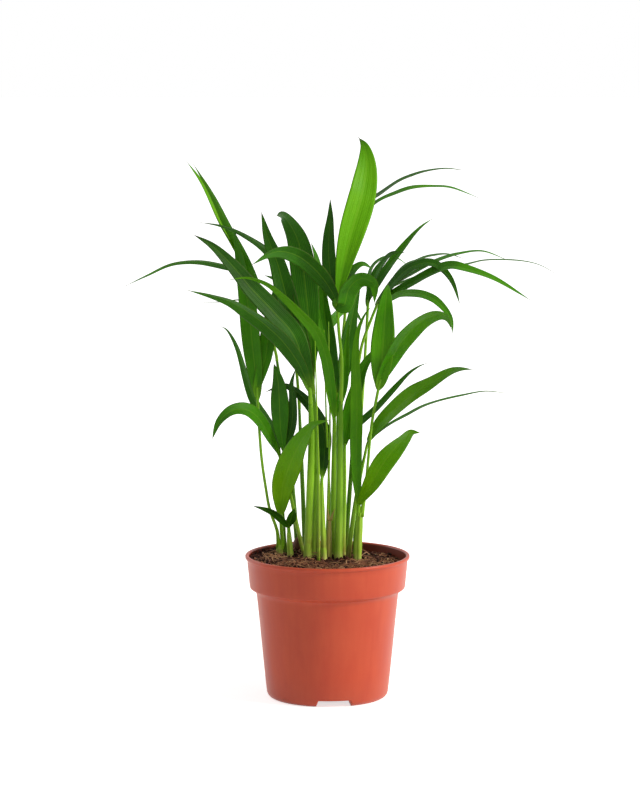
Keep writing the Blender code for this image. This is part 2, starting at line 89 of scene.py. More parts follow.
# %% [markdown]
# ## Meshes that carry their own measures
# A leaf's veins run along it and its colour changes from rib to margin, so
# the mesh itself has to say where each point lies on the leaf. A picture
# could be wrapped on with a UV map, but a number stored at each vertex is
# simpler and stays sharp at any size. One function makes a mesh from points
# and faces and stores such numbers beside them.

# %% Make a mesh with numbers at its vertices
def mesh_piece(name, points, faces, numbers, materials, slots=None):
    mesh = bpy.data.meshes.new(name)
    mesh.from_pydata([placed(p) for p in points], [], faces)
    for key, values in numbers.items():
        mesh.attributes.new(key, "FLOAT", "POINT").data.foreach_set("value", np.asarray(values, np.float32))
    for material in materials:
        mesh.materials.append(material)
    if slots is not None:
        mesh.polygons.foreach_set("material_index", slots)
    mesh.shade_smooth()
    mesh.update()
    piece = bpy.data.objects.new(name, mesh)
    bpy.context.scene.collection.objects.link(piece)
    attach(piece, "root")
    return piece


# %% [markdown]
# ## Where the camera stands
# The plant is looked at from a little above its middle, from over three
# metres away through a long lens, so that the pot's rim shows as a thin
# ellipse and near leaves aren't enlarged. The same eye point serves the leaf
# tables: each leaf is drawn flat and then pulled toward or away from it.

# %% Camera
EYE = Vector((-5.4, -3150.0, 667.0))
LOOK_DOWN = 8.1  # degrees
LENS = 197.3  # on a 36 mm sensor

camera = bpy.data.objects.new("camera", bpy.data.cameras.new("camera"))
camera.data.lens = LENS
camera.data.sensor_width = 36.0
camera.location = placed(EYE)
camera.rotation_euler = (math.radians(90 - LOOK_DOWN), 0, 0)
bpy.context.scene.collection.objects.link(camera)
bpy.context.scene.camera = camera
print("camera at", [round(c, 3) for c in camera.location])

# %% [markdown]
# ## The pot
# A nursery pot is polypropylene, injection moulded about a millimetre thick:
# a tapering cup, a wider band at the top so that pots stack without jamming,
# a small rounded lip, and a base cut into three feet by shallow channels that
# let water out. A turned profile alone can't make the feet, so the profile is
# swept round as a grid and each point near the base is lifted where a channel
# passes. That gives soft moulded corners with no cutting.

# %% The pot's profile
WALL, FLOOR = 1.2, 5.0
CHANNELS = (6.5, 126.5, 246.5)  # degrees round from the front
CHANNEL_HALF = 12.0
# Radius and height of each point, from the lip down the wall and under the foot to the middle.
POT_OUTSIDE = (
    (58.7, 104.9), (59.5, 104.85), (59.95, 104.4), (60.0, 103.6), (59.95, 102.9), (59.6, 102.4),
    (58.9, 102.1), (58.5, 101.6), (58.3, 98.0), (57.6, 91.0), (57.0, 84.5), (56.7, 81.9),
    (56.45, 81.1), (55.8, 80.6), (54.6, 80.0), (53.4, 79.1), (52.5, 78.0), (51.95, 76.8),
    (51.6, 75.4), (51.2, 71.5), (49.5, 55.0), (47.9, 38.0), (46.2, 21.0), (44.8, 8.0),
    (44.5, 5.6), (44.3, 3.9), (43.7, 2.3), (42.7, 1.1), (41.3, 0.3), (39.8, 0.0),
    (36.0, 0.0), (32.0, 0.0), (30.6, 0.2), (30.1, 0.9), (29.9, 4.2), (29.4, 4.8),
    (28.6, 5.0), (20.0, 5.0), (8.0, 5.0),
)


def channel_share(x, y):
    """1 in a channel, 0 on a foot, with a moulded slope 1.6 mm wide between."""
    share = 0.0
    for degrees in CHANNELS:
        a = math.radians(degrees)
        out, across = x * math.sin(a) - y * math.cos(a), x * math.cos(a) + y * math.sin(a)
        if out > 0:
            t = (CHANNEL_HALF + 0.8 - abs(across)) / 1.6
            share = max(share, min(1.0, max(0.0, t)))
    return share * share * (3 - 2 * share)


def pot_grid(profile, steps, inset=0.0):
    """The profile's points swept round, with those in a channel lifted off the floor."""
    points = []
    for r, z in profile:
        for i in range(steps):
            a = 2 * math.pi * i / steps
            x, y = r * math.cos(a), r * math.sin(a)
            if z < FLOOR + 1:
                lift = channel_share(x, y) * max(0.0, (FLOOR + inset - z))
                points.append((x, y, z + lift * (1.0 if z < FLOOR else 0.4)))
            else:
                points.append((x, y, z))
    return points


# %% Sweep the pot round
POT_STEPS = 288
inside = [(max(r - WALL, 0.0), z + (WALL if z < 3 else 0.6 if z < FLOOR + 0.1 else 0.0)) for r,
          z in POT_OUTSIDE[8:]]
lip_inside = [(57.8, 104.8), (57.35, 104.4), (57.2, 103.6)]
outer = pot_grid(POT_OUTSIDE, POT_STEPS)
inner = pot_grid(lip_inside + inside, POT_STEPS, WALL)
points = outer + inner + [(0, 0, FLOOR), (0, 0, FLOOR + WALL)]
faces = []


def band(low, high, flip):
    """Faces between two rings of POT_STEPS points that start at low and high."""
    for i in range(POT_STEPS):
        j = (i + 1) % POT_STEPS
        quad = (low + i, low + j, high + j, high + i)
        faces.append(quad[::-1] if flip else quad)


rows_out, rows_in = len(POT_OUTSIDE), len(lip_inside + inside)
for row in range(rows_out - 1):
    band(row * POT_STEPS, (row + 1) * POT_STEPS, True)
start = rows_out * POT_STEPS
band(0, start, False)
for row in range(rows_in - 1):
    band(start + row * POT_STEPS, start + (row + 1) * POT_STEPS, False)
last_out, last_in = (rows_out - 1) * POT_STEPS, start + (rows_in - 1) * POT_STEPS
for i in range(POT_STEPS):
    j = (i + 1) % POT_STEPS
    faces.append((last_out + i, last_out + j, len(points) - 2)[::-1])
    faces.append((last_in + i, last_in + j, len(points) - 1))
print("pot:", len(points), "points,", len(faces), "faces")

# %% [markdown]
# ## Polypropylene, moulded and coloured terracotta
# The pigment is mixed into the plastic, so the colour is even, with only a
# faint cloudiness where it flowed. Moulding against blasted steel leaves a
# satin skin: roughness about 0.4, and an IOR near 1.49. Water and handling
# leave a little dust low on the wall. The clouds are 30 mm across and the
# skin's grain is drawn 0.5 mm across, as fine as it can show.

# %% Terracotta polypropylene
terracotta = bpy.data.materials.new("moulded_terracotta_polypropylene")
terracotta.use_nodes = True
tree = terracotta.node_tree
shader = tree.nodes["Principled BSDF"]
where = add(tree, "TexCoord").outputs["Object"]
clouds = add(tree, "TexNoise", {"Vector": where, "Scale": 1 / 0.030, "Detail": 3.0})
flow = add(tree, "Mapping", {"Vector": where, "Scale": (1.0, 1.0, 0.12)})
streaks = add(tree, "TexNoise", {"Vector": flow.outputs[0], "Scale": 1 / 0.006, "Detail": 2.0})
both = add(tree, "Math", {0: clouds.outputs[0], 1: streaks.outputs[0]}, operation="ADD")
cloudy = add(tree, "MapRange", {"Value": both.outputs[0], "From Min": 0.7, "From Max": 1.3})
plastic = add(tree, "Mix", {"Factor": cloudy.outputs[0], "A": swatch("#C2492E"), "B": swatch("#CA5537")},
              data_type="RGBA")
height = add(tree, "SeparateXYZ", {"Vector": where})
low = add(tree, "MapRange", {"Value": height.outputs["Z"], "From Min": 0.022, "From Max": 0.0,
                             "To Max": 0.35})
dusty = add(tree, "Math", {0: low.outputs[0], 1: clouds.outputs[0]}, operation="MULTIPLY")
coloured = add(tree, "Mix", {"Factor": dusty.outputs[0], "A": plastic.outputs["Result"],
                             "B": swatch("#9C6656")}, data_type="RGBA")
grain = add(tree, "TexNoise", {"Vector": where, "Scale": 1 / 0.0005, "Detail": 2.0})
skin = add(tree, "Bump", {"Height": grain.outputs[0], "Strength": 0.12, "Distance": 0.00005})
satin = add(tree, "MapRange", {"Value": cloudy.outputs[0], "To Min": 0.34, "To Max": 0.44})
# The inner wall is mixed toward dark brown: painted shade inside the pot, where the rim and the plant keep
# the light off.
inside_shade_share = add(tree, "Attribute", attribute_name="inside").outputs["Fac"]
inside_painted_shade = add(tree, "Mix", {"Factor": add(tree, "Math", {0: inside_shade_share, 1: 0.75}, operation="MULTIPLY").outputs[0],
                            "A": coloured.outputs["Result"], "B": swatch("#5A261B")}, data_type="RGBA")
tree.links.new(inside_painted_shade.outputs["Result"], shader.inputs["Base Color"])
tree.links.new(satin.outputs[0], shader.inputs["Roughness"])
tree.links.new(skin.outputs[0], shader.inputs["Normal"])
shader.inputs["IOR"].default_value = 1.49
shader.inputs["Specular IOR Level"].default_value = 0.35

inside_wall = [0.0] * len(outer) + [0.0] * (2 * POT_STEPS) + [1.0] * (len(inner) - 2 * POT_STEPS) + [0.0, 1.0]
pot = mesh_piece("nursery_pot", points, faces, {"inside": inside_wall}, [terracotta])
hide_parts("pot")
print("pot made of", terracotta.name)

# %% [markdown]
# ## The soil
# The mix is dark peat with coir: crumbs of half a millimetre to three, long
# brown fibres that curl out of it, and a few pale grains. A bumpy surface
# alone looks like felt, so the surface is a rippled disc and the crumbs and
# fibres are real bodies strewn on it, thickest toward the rim.

# %% The lie of the soil
def soil_height(x, y):
    heap = 1.2 * math.exp(-(x * x + y * y) / 1800.0)
    ripple = 0.5 * math.sin(x / 9.0 + 1.0) * math.cos(y / 8.0)
    return 99.6 - 0.045 * x + heap + ripple


SOIL_R = 56.6
points, tones = [(0.0, 0.0, soil_height(0, 0))], [0.5]
RINGS, ROUND = 62, 220
for k in range(1, RINGS + 1):
    r = SOIL_R * k / RINGS
    for i in range(ROUND):
        a = 2 * math.pi * i / ROUND
        x, y = r * math.cos(a), r * math.sin(a)
        rough = noise.noise(Vector((x, y, 0)) / 3.2) * 0.9 + noise.noise(Vector((x, y, 5)) / 1.1) * 0.5
        points.append((x, y, soil_height(x, y) + rough + 0.2))
        tones.append(0.4 + 0.5 * rough)
faces = [(0, 1 + i, 1 + (i + 1) % ROUND) for i in range(ROUND)]
for k in range(RINGS - 1):
    for i in range(ROUND):
        j = (i + 1) % ROUND
        a, b = 1 + k * ROUND, 1 + (k + 1) * ROUND
        faces.append((a + i, b + i, b + j, a + j))
# The disc is closed downwards into a shallow cake that the pot's wall hides.
bottom = len(points)
outer_ring = 1 + (RINGS - 1) * ROUND
for i in range(ROUND):
    a = 2 * math.pi * i / ROUND
    points.append((54.5 * math.cos(a), 54.5 * math.sin(a), 86.0))
    tones.append(0.3)
points.append((0, 0, 86.0))
tones.append(0.3)
for i in range(ROUND):
    j = (i + 1) % ROUND
    faces.append((outer_ring + i, bottom + i, bottom + j, outer_ring + j))
    faces.append((bottom + j, bottom + i, len(points) - 1))
print("soil surface:", len(points), "points")

# %% Strew crumbs
rng = np.random.RandomState(7)
# A crumb starts as an icosahedron: two poles, a ring of five above the middle and one below.
CRUMB = [(0, 0, 1),
         (0.9, 0, 0.4), (0.28, 0.85, 0.4), (-0.72, 0.52, 0.4), (-0.72, -0.52, 0.4), (0.28, -0.85, 0.4),
         (0.72, 0.52, -0.4), (-0.28, 0.85, -0.4), (-0.9, 0, -0.4), (-0.28, -0.85, -0.4), (0.72, -0.52, -0.4),
         (0, 0, -1)]
CRUMB_FACES = [(0, 1, 2), (0, 2, 3), (0, 3, 4), (0, 4, 5), (0, 5, 1),
               (1, 6, 2), (2, 6, 7), (2, 7, 3), (3, 7, 8), (3, 8, 4),
               (4, 8, 9), (4, 9, 5), (5, 9, 10), (5, 10, 1), (1, 10, 6),
               (11, 7, 6), (11, 8, 7), (11, 9, 8), (11, 10, 9), (11, 6, 10)]


def strew(count, small, large, tone_low, tone_high):
    """Irregular crumbs half sunk in the soil."""
    for _ in range(count):
        r, a = 55.4 * math.sqrt(rng.uniform(0, 1)), rng.uniform(0, 2 * math.pi)
        x, y = r * math.cos(a), r * math.sin(a)
        size = small + (large - small) * rng.uniform(0, 1) ** 2.5
        shape = rng.uniform(0.6, 1.25, 3) * size / 2
        tilt = rng.uniform(0, 2 * math.pi)
        c, s = math.cos(tilt), math.sin(tilt)
        base = len(points)
        z = soil_height(x, y) + size * rng.uniform(0.1, 0.45) + 0.3
        tone = rng.uniform(tone_low, tone_high)
        for p in CRUMB:
            px, py, pz = np.array(p) * shape * rng.uniform(0.75, 1.2)
            points.append((x + c * px - s * py, y + s * px + c * py, z + pz))
            tones.append(tone)
        faces.extend(tuple(base + i for i in f) for f in CRUMB_FACES)


strew(3000, 0.7, 2.6, 0.1, 0.7)
strew(260, 1.6, 4.2, 0.15, 0.6)
strew(60, 0.8, 1.8, 1.4, 1.7)
print("with crumbs:", len(faces), "faces")

# %% [markdown]
# ## Peat and coir
# Moist peat is nearly black and swallows light, so it is rough and barely
# glossy. Each crumb carries a number, its tone, that moves its colour from
# wet black through brown to the rare pale grain of perlite.

# %% Peat
peat = bpy.data.materials.new("moist_peat")
peat.use_nodes = True
tree = peat.node_tree
shader = tree.nodes["Principled BSDF"]
tone = add(tree, "Attribute", attribute_name="tone").outputs["Fac"]
where = add(tree, "TexCoord").outputs["Object"]
specks = add(tree, "TexNoise", {"Vector": where, "Scale": 1 / 0.0012, "Detail": 4.0})
mixed = add(tree, "Math", {0: specks.outputs[0], 1: 0.55, 2: tone}, operation="MULTIPLY_ADD")
ramp = add(tree, "ValToRGB", {"Fac": add(tree, "Math", {0: mixed.outputs[0], 1: 0.5},
                                         operation="MULTIPLY").outputs[0]})
ramp.color_ramp.elements[0].color = swatch("#1C120D")
ramp.color_ramp.elements[1].color = swatch("#B7AE9C")
ramp.color_ramp.elements[1].position = 0.95
for at, colour in ((0.30, "#321A13"), (0.48, "#4F2A20"), (0.62, "#69402E")):
    ramp.color_ramp.elements.new(at).color = swatch(colour)
bumps = add(tree, "Bump", {"Height": specks.outputs[0], "Strength": 0.8, "Distance": 0.0004})
tree.links.new(ramp.outputs[0], shader.inputs["Base Color"])
tree.links.new(bumps.outputs[0], shader.inputs["Normal"])
shader.inputs["Roughness"].default_value = 0.95
shader.inputs["Specular IOR Level"].default_value = 0.2

soil = mesh_piece("peat_and_coir", points, faces, {"tone": tones}, [peat])
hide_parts("potting_soil")
print("soil made of", peat.name)

# %% [markdown]
# ## Sweeping a section along a path
# Stalks, shoots, coir fibres and leaf blades are all one thing to a modeller:
# a cross-section carried along a curved path while it grows, narrows and
# turns. A curve object with a bevel could make the round ones, but not a
# blade that folds along its rib, so one sweep serves them all.

# %% Smooth paths and sweeps
def smooth_path(knots, count):
    """count + 1 points spaced evenly along a smooth curve through the knots."""
    knots = [Vector(k) for k in knots]
    ends = [2 * knots[0] - knots[1], *knots, 2 * knots[-1] - knots[-2]]
    fine = []
    for a, b, c, d in zip(ends, ends[1:], ends[2:], ends[3:]):
        for i in range(12):
            t = i / 12
            fine.append(0.5 * (2 * b + (c - a) * t + (2 * a - 5 * b + 4 * c - d) * t * t
                               + (3 * b - a - 3 * c + d) * t ** 3))
    fine.append(knots[-1])
    fine = np.array(fine)
    along = np.r_[0, np.cumsum(np.linalg.norm(np.diff(fine, axis=0), axis=1))]
    want = np.linspace(0, along[-1], count + 1)
    return [Vector((np.interp(w, along, fine[:, 0]), np.interp(w, along, fine[:, 1]),
                    np.interp(w, along, fine[:, 2])))
            for w in want]


def spread(values, s):
    """The value at s of numbers spread evenly over 0 to 1, eased between them."""
    at = min(max(s, 0.0), 1.0) * (len(values) - 1)
    i = min(int(at), len(values) - 2)
    return values[i] + (values[i + 1] - values[i]) * (at - i)


def sweep(store, path, section, numbers, slot):
    """Adds a closed skin to the store.

    section(s, i) gives each ring's (side, up) offsets, and numbers(s, k, size) the values at its point k.
    """
    count = len(path) - 1
    start = len(store["points"])
    size = 0
    for i, point in enumerate(path):
        ahead = (path[min(i + 1, count)] - path[max(i - 1, 0)]).normalized()
        right = ahead.cross(EYE - point).normalized()
        face = right.cross(ahead)
        ring = section(i / count, i)
        size = len(ring)
        for k, (a, b) in enumerate(ring):
            store["points"].append(tuple(point + right * a + face * b))
            for key, value in numbers(i / count, k, size).items():
                store[key].append(value)
    for i in range(count):
        for k in range(size):
            m = (k + 1) % size
            a, b = start + i * size, start + (i + 1) * size
            store["faces"].append((a + k, a + m, b + m, b + k))
            store["slots"].append(slot)
    store["faces"].append(tuple(range(start + size - 1, start - 1, -1)))
    store["faces"].append(tuple(range(start + count * size, start + (count + 1) * size)))
    store["slots"] += [slot, slot]


def new_store():
    """An empty store for sweep to fill."""
    return {key: [] for key in ("points", "faces", "slots", "along", "across", "tone", "under")}


print("a test path has", len(smooth_path([(0, 0, 0), (5, 0, 5), (5, 0, 20)], 10)), "points")

# %% [markdown]
# ## Loose coir
# Coir is the fibre of coconut husk, mixed in to keep peat open. It dries at
# the surface into springy curls a quarter of a millimetre thick. Hair curves
# would be quicker to strew, but the exported part keeps only meshes, so each
# fibre is a thin four-sided sweep that arches up from the soil and turns by
# chance. They lie thickest at the front left and the right.

# %% Coir fibres
fibres = new_store()
FIBRES = 400
for n in range(FIBRES):
    near_rim = n % 3
    a = rng.uniform(0, 2 * math.pi) if near_rim == 0 else rng.normal(-2.3 if near_rim == 1 else -0.5, 0.45)
    r = 54 * math.sqrt(rng.uniform(0.15, 1)) - 2
    x, y, heading = r * math.cos(a), r * math.sin(a), rng.uniform(0, 2 * math.pi)
    bend, length = rng.normal(0, 0.35), rng.uniform(7, 20)
    knots = []
    arch = rng.uniform(0.4, 3.2)
    for k in range(6):
        lift = arch * math.sin(math.pi * k / 5) + 0.9
        knots.append((x, y, soil_height(x, y) + lift))
        heading += bend + rng.normal(0, 0.35)
        x, y = x + length / 5 * math.cos(heading), y + length / 5 * math.sin(heading)
        shrink = min(1.0, 55.0 / max(1e-6, math.hypot(x, y)))
        x, y = x * shrink, y * shrink
    thick, tone_n = rng.uniform(0.11, 0.25), rng.uniform(0, 1)
    sweep(fibres, smooth_path(knots, 14),
          lambda s, i, w=thick: [(w * math.cos(q), w * math.sin(q)) for q in (0, 1.57, 3.14, 4.71)],
          lambda s, k, size, t=tone_n: {"along": s, "across": 0.0, "tone": t, "under": 0.0}, 0)
print("coir:", FIBRES, "fibres")

# %% [markdown]
# ## Dry coir
# Dry plant fibre scatters light in every direction, so it looks dull and
# matt, with a roughness near 0.7. One number per fibre moves it from the red
# brown of husk to sun-bleached straw.

# %% Coir
coir = bpy.data.materials.new("dry_coir_fibre")
coir.use_nodes = True
tree = coir.node_tree
shader = tree.nodes["Principled BSDF"]
tone = add(tree, "Attribute", attribute_name="tone").outputs["Fac"]
ramp = add(tree, "ValToRGB", {"Fac": tone})
ramp.color_ramp.elements[0].color = swatch("#5E3320")
ramp.color_ramp.elements[1].color = swatch("#D8AC80")
ramp.color_ramp.elements.new(0.6).color = swatch("#A06A48")
tree.links.new(ramp.outputs[0], shader.inputs["Base Color"])
shader.inputs["Roughness"].default_value = 0.7


def store_piece(name, store, materials):
    """A piece made of all that a store holds."""
    return mesh_piece(name, store["points"], store["faces"],
                      {k: store[k] for k in ("along", "across", "tone", "under")}, materials, store["slots"])


# The husk of the seed that one shoot sprang from still lies behind the clump.
husk = smooth_path([(-22, 31, 97), (-21.6, 31, 103), (-21, 30.5, 110), (-20.4, 30, 115)], 14)


def husk_section(s, i):
    """A round ring, plump in the middle and nearly closed at both ends."""
    r = 0.4 + 4.0 * math.sin(math.pi * (0.12 + 0.84 * s))
    return [(r * math.cos(q), r * math.sin(q)) for q in [math.pi * k / 7 for k in range(14)]]


sweep(fibres, husk, husk_section,
      lambda s, k, size: {"along": s, "across": 0.0, "tone": 0.15 * (k % 2), "under": 0.0}, 0)
litter = store_piece("coir_fibres", fibres, [coir])
print("litter:", len(litter.data.polygons), "faces of", coir.name)

# %% [markdown]
# ## The shoots
# Each shoot is a rolled stack of leaf bases: pale where the soil kept the
# light off, then yellow-green, with a ring where an old leaf fell and brown
# papery rags of the first sheaths at the foot. The table gives where each
# leaves the soil, the points that it passes and its radius at both ends.

# %% Where the shoots stand
SHOOTS = {
    "stem_01": ((-35, -15), [(-34.6, 112, -15)], 2.7, 2.6),
    "stem_02": ((-31.5, -23), [(-33, 140, -22), (-34.2, 172, -21)], 1.9, 1.5),
    "stem_03": ((-27, -5), [(-28, 121, -5)], 2.5, 2.2),
    "stem_04": ((-17.5, -12), [(-20.5, 119, -12.5), (-27, 150, -14), (-30.8, 173, -16)], 1.5, 1.3),
    "stem_05": ((-16.5, -25), [(-18.5, 165, -34), (-20.5, 215, -42)], 1.8, 1.4),
    "stem_06": ((-14.2, -2), [(-12.6, 150, -2), (-11.6, 190, -2), (-12.2, 216, -2)], 3.2, 2.4),
    "stem_07": ((-9.6, -11), [(-8.6, 150, -11), (-8.4, 190, -11), (-10.3, 226, -11)], 2.6, 2.0),
    "stem_08": ((-2.5, 2), [(-3.6, 135, 1), (-4.0, 156, -0.5)], 2.2, 1.8),
    "stem_09": ((1.2, -6), [(1.6, 130, -6)], 2.6, 1.7),
    "stem_10": ((3.8, -14.5), [(4.6, 160, -13), (5.0, 198, -11)], 2.3, 1.9),
    "stem_11": ((8.0, -4), [(9.0, 150, -4), (9.4, 190, -4), (9.9, 218, -4)], 3.0, 2.0),
    "stem_12": ((11.2, -16), [(12.0, 150, -16), (12.4, 180, -16)], 2.2, 1.8),
    "stem_13": ((15.4, -8.5), [(21.5, 150, -9), (28.0, 182, -7)], 1.9, 1.4),
    "stem_14": ((22.0, -3), [(22.8, 120, -3), (24.0, 136, -3)], 3.0, 2.8),
    "stem_15": ((13.5, -27), [(17.5, 170, -38), (21.6, 236, -50)], 1.9, 1.4),
    "stem_16": ((2.5, -28), [(8.0, 200, -42), (11.0, 260, -50)], 1.8, 1.4),
    "stem_17": ((-22.0, -29), [(-29.5, 200, -50), (-37, 250, -60)], 1.9, 1.4),
    "stem_18": ((-8.5, -30), [(-11.0, 170, -46), (-11.0, 215, -60)], 2.1, 1.6),
    "stem_19": ((20.5, -20), [(22.5, 170, -34), (25.0, 215, -46)], 2.0, 1.5),
    "stem_20": ((7.5, -21.5), [(8.2, 150, -22), (7.6, 214, -24)], 1.8, 1.5),
}


def in_sight(x, z, toward):
    """The point drawn at (x, z), brought toward the eye along its line of sight."""
    return Vector((x, 0.0, z)).lerp(EYE, toward / -EYE.y)


def shoot_path(name):
    """The shoot's knots, from 4 mm under the soil to its top."""
    (x, toward), rest, _, _ = SHOOTS[name]
    ground = soil_height(x, -toward)
    return [Vector((x, -toward, ground - 4.0)), Vector((x, -toward,
                                                        ground + 3.0))] + [in_sight(*p) for p in rest]


# %% [markdown]
# ## Green sheath and lamina
# Living leaf is a thin waxy skin over wet green tissue. The wax gives a broad
# soft gloss, roughness about 0.4. Light that passes through from behind
# makes the green yellower, and that glow is painted into the colour: the
# bright end of the green ramp leans to yellow. Veins run the length of a
# lobe about a millimetre apart. The number called tone is set for each lobe
# and moves it from dark to bright: partly the leaf's own age, from an old
# dark leaf to a young bright one, and partly painted light and shade,
# brighter for a lobe lit from behind and darker for one in the shade of
# others. The numbers along and across place the pale rib, the brown margin
# and the dry tip.

# %% Leaf lamina
def living(name):
    """A material for living skin, with the numbers that its mesh carries."""
    made = bpy.data.materials.new(name)
    made.use_nodes = True
    tree = made.node_tree
    numbers = {k: add(tree, "Attribute", attribute_name=k).outputs["Fac"] for k in ("along", "across",
        "tone", "under")}
    where = add(tree, "TexCoord").outputs["Object"]
    return made, tree, tree.nodes["Principled BSDF"], numbers, where


lamina, tree, shader, number, where = living("palm_leaf_lamina")
mottle = add(tree, "TexNoise", {"Vector": where, "Scale": 1 / 0.018, "Detail": 3.0})
uneven = add(tree, "Math", {0: mottle.outputs[0], 1: 0.34, 2: number["tone"]}, operation="MULTIPLY_ADD")
# The lobe's tone sets its green: partly the leaf's age, partly painted light and shade; the yellow bright end
# is painted light that passes through the leaf.
tone_with_painted_light = add(tree, "Math", {0: uneven.outputs[0], 1: 0.17}, operation="SUBTRACT")
green = add(tree, "ValToRGB", {"Fac": tone_with_painted_light.outputs[0]})
green.color_ramp.elements[0].color = swatch("#164A02")
green.color_ramp.elements[1].color = swatch("#86C00A")
for at, colour in ((0.25, "#286802"), (0.5, "#449002"), (0.75, "#60A804")):
    green.color_ramp.elements.new(at).color = swatch(colour)
# A lobe 15 mm wide shows about 14 veins.
ripple = add(tree, "Math", {0: add(tree, "Math", {0: number["across"], 1: 44.0},
                                   operation="MULTIPLY").outputs[0]}, operation="SINE")
vein = add(tree, "MapRange", {"Value": ripple.outputs[0], "From Min": 0.2, "From Max": 1.0})
veined = add(tree, "Mix", {"Factor": add(tree, "Math", {0: vein.outputs[0], 1: 0.15},
                                         operation="MULTIPLY").outputs[0],
                           "A": green.outputs[0], "B": swatch("#7FB81C")}, data_type="RGBA")
aside = add(tree, "Math", {0: number["across"]}, operation="ABSOLUTE")
rib = add(tree, "MapRange", {"Value": aside.outputs[0], "From Min": 0.07, "From Max": 0.01, "To Max": 0.22})
ribbed = add(tree, "Mix", {"Factor": rib.outputs[0], "A": veined.outputs["Result"], "B": swatch("#93C43A")},
             data_type="RGBA")
young = add(tree, "MapRange", {"Value": number["along"], "From Min": 0.10, "From Max": 0.0, "To Max": 0.5})
rooted = add(tree, "Mix", {"Factor": young.outputs[0], "A": ribbed.outputs["Result"],
                           "B": swatch("#8CC02A")}, data_type="RGBA")
margin = add(tree, "MapRange", {"Value": aside.outputs[0], "From Min": 0.955, "From Max": 0.99,
                                "To Max": 0.6})
edged = add(tree, "Mix", {"Factor": margin.outputs[0], "A": rooted.outputs["Result"],
                          "B": swatch("#5B3A1C")}, data_type="RGBA")
dry = add(tree, "MapRange", {"Value": number["along"], "From Min": 0.955, "From Max": 0.99, "To Max": 0.85})
tipped = add(tree, "Mix", {"Factor": dry.outputs[0], "A": edged.outputs["Result"], "B": swatch("#4F3A22")},
             data_type="RGBA")
below = add(tree, "Mix", {"Factor": add(tree, "Math", {0: number["under"], 1: 0.35},
                                        operation="MULTIPLY").outputs[0],
                          "A": tipped.outputs["Result"], "B": swatch("#6A8F40")}, data_type="RGBA")
pores = add(tree, "TexNoise", {"Vector": where, "Scale": 1 / 0.0015, "Detail": 2.0})
relief = add(tree, "Math", {0: vein.outputs[0], 1: 0.8, 2: pores.outputs[0]}, operation="MULTIPLY_ADD")
bumps = add(tree, "Bump", {"Height": relief.outputs[0], "Strength": 0.3, "Distance": 0.00025})
waxy = add(tree, "MapRange", {"Value": mottle.outputs[0], "To Min": 0.34, "To Max": 0.52})
tree.links.new(below.outputs["Result"], shader.inputs["Base Color"])
tree.links.new(waxy.outputs[0], shader.inputs["Roughness"])
tree.links.new(bumps.outputs[0], shader.inputs["Normal"])
shader.inputs["IOR"].default_value = 1.42
shader.inputs["Specular IOR Level"].default_value = 0.18
print(lamina.name, "has", len(tree.nodes), "nodes")

# %% [markdown]
# ## Shoot and stalk
# A shoot's skin is the same wax over green, but stiffer and ribbed by strands
# that run its length, about a millimetre apart. It is bleached where the soil
# hid it, torn brown where the oldest sheath has dried, and greener upward.
# Stretching a noise along the shoot gives strands without a count of them.

# %% Sheath and stalk
sheath, tree, shader, number, where = living("palm_sheath_and_stalk")
stretched = add(tree, "Mapping", {"Vector": where, "Scale": (1.0, 1.0, 0.08)})
strands = add(tree, "TexNoise", {"Vector": stretched.outputs[0], "Scale": 1 / 0.0011, "Detail": 2.0})
patches = add(tree, "TexNoise", {"Vector": where, "Scale": 1 / 0.012, "Detail": 3.0})
fresh = add(tree, "ValToRGB", {"Fac": number["along"]})
fresh.color_ramp.elements[0].color = swatch("#D8CBA0")
fresh.color_ramp.elements[1].color = swatch("#70AE12")
for at, colour in ((0.03, "#CFCB7C"), (0.09, "#B2D64A"), (0.35, "#9AD02C"), (0.75, "#84C018")):
    fresh.color_ramp.elements.new(at).color = swatch(colour)
# A low tone mixes toward deep green: painted shade on the shoots at the back, and faint stripes round each
# shoot.
shade = add(tree, "Math", {0: 1.0, 1: number["tone"]}, operation="SUBTRACT")
shaded = add(tree, "Mix", {"Factor": shade.outputs[0], "A": fresh.outputs[0], "B": swatch("#2F6A06")},
             data_type="RGBA")
lined = add(tree, "MapRange", {"Value": strands.outputs[0], "From Min": 0.35, "From Max": 0.7, "To Max": 0.4})
striped = add(tree, "Mix", {"Factor": lined.outputs[0], "A": shaded.outputs["Result"],
                            "B": swatch("#5A960E")}, data_type="RGBA")
old = add(tree, "MapRange", {"Value": number["along"], "From Min": 0.22, "From Max": 0.0, "To Max": 0.9})
torn = add(tree, "MapRange", {"Value": patches.outputs[0], "From Min": 0.52, "From Max": 0.60})
rags = add(tree, "Math", {0: old.outputs[0], 1: torn.outputs[0]}, operation="MULTIPLY")
ragged = add(tree, "Mix", {"Factor": rags.outputs[0], "A": striped.outputs["Result"],
                           "B": swatch("#7A5230")}, data_type="RGBA")
papery = add(tree, "Mix", {"Factor": number["under"], "A": ragged.outputs["Result"],
                           "B": swatch("#C2AE62")}, data_type="RGBA")
bumps = add(tree, "Bump", {"Height": strands.outputs[0], "Strength": 0.5, "Distance": 0.0002})
tree.links.new(papery.outputs["Result"], shader.inputs["Base Color"])
tree.links.new(bumps.outputs[0], shader.inputs["Normal"])
shader.inputs["Roughness"].default_value = 0.42
shader.inputs["IOR"].default_value = 1.42
shader.inputs["Specular IOR Level"].default_value = 0.35

# %% Build the shoots
def ring_of(width, depth, turn, count=14, grooves=1, groove=0.0):
    """A slightly flattened round section, with grooves where the edges of leaf bases overlap."""
    ring = []
    for k in range(count):
        q = 2 * math.pi * k / count
        cut = max(math.cos(q - turn - 1.25 * g) for g in range(grooves))
        r = 1.0 - groove * max(0.0, cut) ** 24
        ring.append((width * r * math.cos(q), depth * r * math.sin(q)))
    return ring


